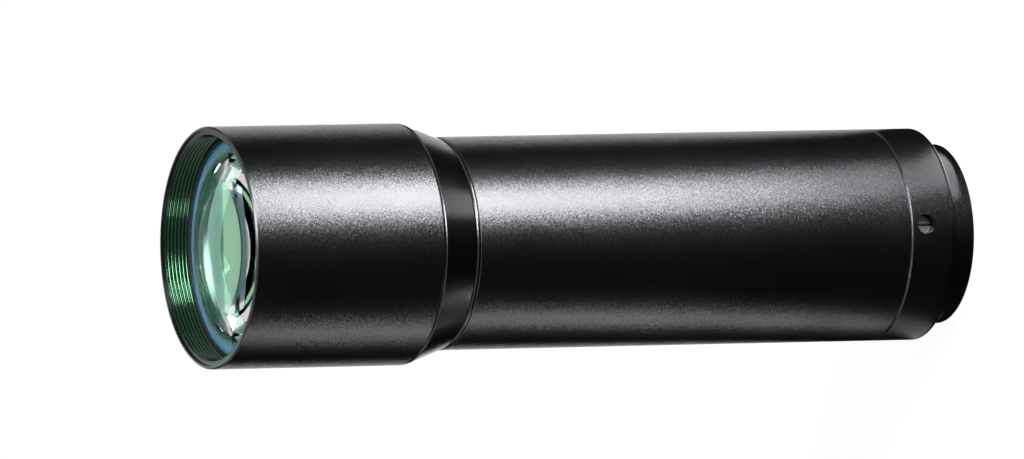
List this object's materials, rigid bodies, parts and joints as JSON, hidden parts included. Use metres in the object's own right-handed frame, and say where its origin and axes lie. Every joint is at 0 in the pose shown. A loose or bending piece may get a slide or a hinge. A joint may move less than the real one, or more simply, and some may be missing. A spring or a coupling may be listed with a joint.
{
  "type": "telecentric lens",
  "caption": "Slim telecentric lens for machine vision: stepped black tube with a threaded front mouth, coated glass, tapered shoulder and a flanged camera collar.",
  "frame": {"origin": "centre of the rear end face of the camera collar, on the optical axis", "axes": "+Z along the optical axis towards the object, so the part stands on its rear end with the glass up; the first locking screw points nearly along -Y"},
  "size_m": [0.034, 0.034, 0.1129],
  "materials": {
    "anodised_body": "fine bead-blasted black anodising",
    "anodised_smooth": "turned black anodising, smoother than the body",
    "matt_inner": "dull black anodising against stray light",
    "stop_steel": "blackened",
    "screw_steel": "dark turned steel",
    "front_glass": "polished, green and blue anti-reflection coating",
    "crown_glass": "polished, coated",
    "flint_glass": "polished, coated",
    "rear_glass": "polished, coated"
  },
  "bodies": {
    "root": {"front_housing": "anodised_body", "main_barrel": "anodised_body", "rear_ring": "anodised_body", "mount_ring": "anodised_body", "taper_ring": "anodised_smooth", "front_retaining_ring": "matt_inner", "objective_spacer": "matt_inner", "housing_baffle": "matt_inner", "barrel_baffle_1": "matt_inner", "barrel_baffle_2": "matt_inner", "barrel_baffle_3": "matt_inner", "stop_cell": "matt_inner", "stop_retaining_ring": "matt_inner", "rear_lens_cell": "matt_inner", "rear_spacer": "matt_inner", "rear_retaining_ring": "matt_inner", "cell_lock_ring": "matt_inner", "aperture_stop": "stop_steel", "set_screws": "screw_steel", "objective_front_lens": "front_glass", "objective_crown_lens": "crown_glass", "objective_flint_lens": "flint_glass", "rear_flint_lens": "rear_glass", "rear_crown_lens": "rear_glass", "rear_field_lens": "rear_glass"}
  },
  "joints": []
}
